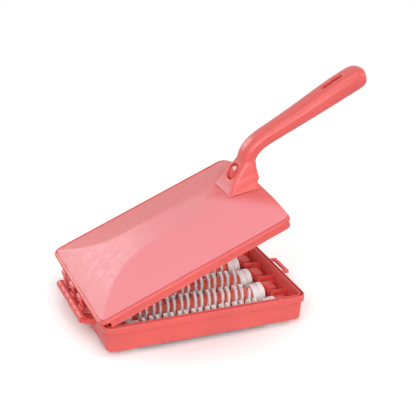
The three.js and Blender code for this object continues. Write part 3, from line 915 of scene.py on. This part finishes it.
# Painted sheen on the foot, only on the slope that faces the hinge and the light.
def foot_painted_sheen(material):
    return fading(material, reach(material, "Normal", -ALONG_LID), FACING_FROM, FACING_TO, 0, 1)


# %% Paint the sheen on the crown and the foot
# The paler colour is painted sheen: the lamps' gloss on the crown and the foot, mixed into the base
# colour.
PAINTED_SHEEN_COLOR = (0.84, 0.25, 0.275)
SHEEN_BELOW, SHEEN_GONE_ABOVE = 0.0275, 0.040


def paint_sheen(material, sheen_mask):
    links = material.node_tree.links
    shader = material.node_tree.nodes["Principled BSDF"]
    start = PIN.dot(UP_FROM_LID)
    height = reach(material, "Object", UP_FROM_LID)
    low_down = fading(material, height, start + SHEEN_BELOW, start + SHEEN_GONE_ABOVE, 1, 0)
    mix = material.node_tree.nodes.new("ShaderNodeMix")
    mix.data_type = "RGBA"
    links.new(combine(material, "MULTIPLY", sheen_mask(material), low_down), mix.inputs[0])
    links.new(shader.inputs["Base Color"].links[0].from_socket, mix.inputs[6])
    mix.inputs[7].default_value = (*PAINTED_SHEEN_COLOR, 1)
    links.new(mix.outputs[2], shader.inputs["Base Color"])


paint_sheen(CORAL_CROWN, crown_painted_sheen)
paint_sheen(CORAL_HANDLE, foot_painted_sheen)
print("the crown and the handle's foot pale together")

# %% [markdown]
# ## The end caps
# Each roller ends in a turned white cap, narrower on its inner half, with a rounded rim and a shallow
# dish round the axle. A profile could be spun round the axle, but insets and pulls on a cylinder give
# the same form with an even mesh. One is shaped, then copied to all ten ends.

# %% Turn one cap
CAP_LOW, CAP_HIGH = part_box("roller_1_cap_catch_end")
CAP_LENGTH = CAP_HIGH[0] - CAP_LOW[0]
CAP_RADIUS = (CAP_HIGH[2] - CAP_LOW[2]) / 2
NECK_RADIUS = CAP_RADIUS - 0.0009
GROOVE_WIDTH, GROOVE_DEPTH = 0.0001, 0.0004
STEP_OUT, STEP_LENGTH = 0.0011, 0.0003
OUTER_LENGTH = CAP_LENGTH / 2 - 0.0014
RIM_AND_DISH = [(0.0003, 0.0006), (0.0008, 0.0005), (0.0030, 0), (0.0012, -0.0012)]
CAP_TURN = 38
bpy.ops.object.select_all(action="DESELECT")
bpy.ops.mesh.primitive_cylinder_add(
    vertices=48, radius=NECK_RADIUS, depth=CAP_LENGTH / 2, location=(0, 0, CAP_LENGTH / 4),
)
cap = bpy.context.object
cap.name = "cap_pattern"
bpy.ops.object.transform_apply(location=True)
outer_end = max(cap.data.polygons, key=lambda face: len(face.vertices) + face.center.z)
for part in (cap.data.vertices, cap.data.edges, cap.data.polygons):
    part.foreach_set("select", [False] * len(part))
outer_end.select = True
bpy.ops.object.mode_set(mode="EDIT")
bpy.ops.mesh.select_mode(type="FACE")
draw_in(GROOVE_WIDTH, -GROOVE_DEPTH)
draw_in(GROOVE_WIDTH, GROOVE_DEPTH)
wider = CAP_RADIUS / (CAP_RADIUS - STEP_OUT)
pull(STEP_LENGTH)
bpy.ops.transform.resize(value=(wider, wider, 1))
pull(OUTER_LENGTH)
for by, lift in RIM_AND_DISH:
    draw_in(by, lift)
bpy.ops.object.mode_set(mode="OBJECT")
bpy.ops.object.shade_smooth_by_angle(angle=math.radians(CAP_TURN))
print("one cap has", len(cap.data.polygons), "faces", [round(v * 1000, 1) for v in cap.dimensions])

# %% Fit a cap to every roller end
for number in range(1, 6):
    for side, end in ((-1, "hinge_end"), (1, "catch_end")):
        low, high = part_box(f"roller_{number}_cap_{end}")
        inner = low[0] if side > 0 else high[0]
        made = cap.copy()
        made.data = cap.data.copy()
        made.name = f"roller_{number}_{end}_cap"
        bpy.context.collection.objects.link(made)
        place = Vector((inner, (low[1] + high[1]) / 2, (low[2] + high[2]) / 2))
        made.data.transform(Matrix.Translation(place) @ Matrix.Rotation(side * math.pi / 2, 4, "Y"))
        made.data.materials.append(WHITE)
        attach(made, f"roller_{number}")
        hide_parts(f"roller_{number}_cap_{end}")
bpy.data.objects.remove(cap)
print("ten caps fitted")

# %% [markdown]
# ## The rollers' cores
# Little of a core shows, and its solid has the right shape. So it stays as it is, and only its plastic
# is changed.

# %% Paint the cores
for number in range(1, 6):
    paint(frame["nodes"][f"roller_{number}_core"], CORAL_ROLLER)
print("five cores painted")

# %% [markdown]
# ## The brushes
# Each roller carries two strips of bristles, wound side by side like a two-start thread. One bristle is
# a thin three-sided cone with its tip cut off. It is modelled once, and its corners are then repeated
# along the winding in code, because thousands of hand-placed copies would be slow. Every bristle leans
# a little by chance, and the floor presses the lowest ones flat. Low down the bristles are packed so
# closely that they close up, so a narrow ribbon stands in for the middle of each strip.

# %% Model one bristle
BRISTLE_THICK = 0.00038
BRISTLE_TIP = BRISTLE_THICK * 0.8
bpy.ops.object.select_all(action="DESELECT")
bpy.ops.mesh.primitive_cone_add(
    vertices=3, radius1=BRISTLE_THICK, radius2=BRISTLE_TIP, depth=1, location=(0, 0, 0.5),
)
bristle = bpy.context.object
bpy.ops.object.transform_apply(location=True)
bristle_corners = np.array([vertex.co[:] for vertex in bristle.data.vertices])
bristle_faces = [tuple(face.vertices) for face in bristle.data.polygons]
bpy.data.objects.remove(bristle)
print("one bristle has", len(bristle_faces), "faces")

# %% Measure the winding
AXLE_HEIGHT = (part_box("roller_1_core")[0][2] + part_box("roller_1_core")[1][2]) / 2
BRUSH_LOW, BRUSH_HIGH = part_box("roller_1_bristles")
BRUSH_HALF = (BRUSH_HIGH[0] - BRUSH_LOW[0]) / 2
TIP_RADIUS = BRUSH_HIGH[2] - AXLE_HEIGHT
SLEEVE_RADIUS = 0.0087
LEAD = 0.014
BARE_END = 0.003
TURNS = 2 * (BRUSH_HALF - BARE_END) / LEAD
START_TURN = 0.8
STRIP_OFFSETS = (0, 0.45)
ALONG_AXLE = np.array([1.0, 0, 0])
print("each strip winds round", round(TURNS, 1), "times")


def winding(along, offset, number):
    low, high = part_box(f"roller_{number}_core")
    angle = 2 * math.pi * (along / LEAD + offset) + number * START_TURN
    none = np.zeros(len(along))
    axle = np.stack([TRAY_MIDDLE_X + along, none + (low[1] + high[1]) / 2, none + AXLE_HEIGHT], 1)
    out = np.stack([none, np.sin(angle), np.cos(angle)], 1)
    side = np.stack([none, np.cos(angle), -np.sin(angle)], 1)
    return axle, out, side


# %% Set one row of bristles
ROWS = (-1, 0, 1)
ROW_SPACING = 0.0007
BRISTLE_SPACING = 0.00055
COUNT_RADIUS = 0.0105
SUNK = 0.0006
TIP_GAP = 0.0003
ROW_LEAN = 0.0003
STEP_CHANCE, SHIFT_CHANCE, LEAN_CHANCE, LENGTH_CHANCE = 0.3, 0.00012, 0.0003, 0.0002


def bristle_row(number, offset, row, chance):
    count = int(TURNS * 2 * math.pi * COUNT_RADIUS / BRISTLE_SPACING)
    places = np.arange(count) + chance.uniform(-STEP_CHANCE, STEP_CHANCE, count)
    along = (places / count - 0.5) * TURNS * LEAD
    axle, out, side = winding(along, offset, number)
    shift = row * ROW_SPACING + chance.normal(0, SHIFT_CHANCE, count)
    lean = chance.normal(0, LEAN_CHANCE, (count, 2)) + np.array([row * ROW_LEAN, 0])
    shorter = np.abs(chance.normal(0, LENGTH_CHANCE, count))
    length = TIP_RADIUS - TIP_GAP - SLEEVE_RADIUS + SUNK - shorter
    corner_x, corner_side, corner_up = bristle_corners.T
    by_x = corner_x + shift[:, None] + corner_up ** 2 * lean[:, 0, None]
    by_side = corner_side + corner_up ** 2 * lean[:, 1, None]
    by_out = SLEEVE_RADIUS - SUNK + corner_up * length[:, None]
    points = axle[:, None] + by_x[..., None] * ALONG_AXLE
    points = points + by_side[..., None] * side[:, None] + by_out[..., None] * out[:, None]
    size = len(bristle_corners)
    faces = [tuple(k * size + v for v in face) for k in range(count) for face in bristle_faces]
    return points.reshape(-1, 3), faces


# %% Wind the ribbon in the middle of a strip
RIBBON_HALF = 0.0009
RIBBON_ROOT = SLEEVE_RADIUS - 0.0003
RIBBON_RADIUS = TIP_RADIUS - 0.0008
RIBBON_STEPS = 40


def ribbon(number, offset):
    count = int(TURNS * RIBBON_STEPS)
    axle, out, side = winding(np.linspace(-0.5, 0.5, count) * TURNS * LEAD, offset, number)
    section = (
        (-RIBBON_HALF, RIBBON_ROOT), (-0.7 * RIBBON_HALF, RIBBON_RADIUS),
        (0.7 * RIBBON_HALF, RIBBON_RADIUS), (RIBBON_HALF, RIBBON_ROOT),
    )
    points = np.stack([axle + x * ALONG_AXLE + radius * out for x, radius in section], 1)
    faces = [(3, 2, 1, 0), tuple(4 * (count - 1) + k for k in range(4))]
    for step_start in range(0, 4 * (count - 1), 4):
        for k in range(4):
            near, far = step_start + k, step_start + (k + 1) % 4
            faces.append((near, far, far + 4, near + 4))
    return points.reshape(-1, 3), faces


# %% Wind the strips on a sleeve
LOWEST_BRISTLE = CAD_BOUNDS[0][2] + 0.0001


def brush(number):
    low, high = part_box(f"roller_{number}_core")
    bpy.ops.object.select_all(action="DESELECT")
    bpy.ops.mesh.primitive_cylinder_add(
        vertices=40, radius=SLEEVE_RADIUS, depth=2 * BRUSH_HALF, end_fill_type="NOTHING",
        location=(TRAY_MIDDLE_X, (low[1] + high[1]) / 2, AXLE_HEIGHT), rotation=(0, math.pi / 2, 0),
    )
    piece = bpy.context.object
    piece.name = f"roller_{number}_brush"
    bpy.ops.object.transform_apply(location=True, rotation=True)
    chance = np.random.default_rng(number)
    sleeve_corners = [vertex.co[:] for vertex in piece.data.vertices]
    sleeve_faces = [tuple(face.vertices) for face in piece.data.polygons]
    parts = [(sleeve_corners, sleeve_faces)]
    for offset in STRIP_OFFSETS:
        parts.append(ribbon(number, offset))
        for row in ROWS:
            parts.append(bristle_row(number, offset, row, chance))
    corners = []
    faces = []
    for points, part_faces in parts:
        start = len(corners)
        corners.extend(points)
        faces.extend(tuple(start + v for v in face) for face in part_faces)
    corners = np.array(corners)
    corners[:, 2] = np.maximum(corners[:, 2], LOWEST_BRISTLE)
    piece.data.clear_geometry()
    piece.data.from_pydata(corners, [], faces)
    piece.data.materials.append(CORAL_ROLLER)
    piece.data.materials.append(BRISTLE)
    is_sleeve = np.arange(len(faces)) < len(sleeve_faces)
    piece.data.polygons.foreach_set("material_index", np.where(is_sleeve, 0, 1).astype(np.int32))
    piece.data.polygons.foreach_set("use_smooth", is_sleeve)
    return piece


for number in range(1, 6):
    dress(brush(number), f"roller_{number}", f"roller_{number}_bristles")
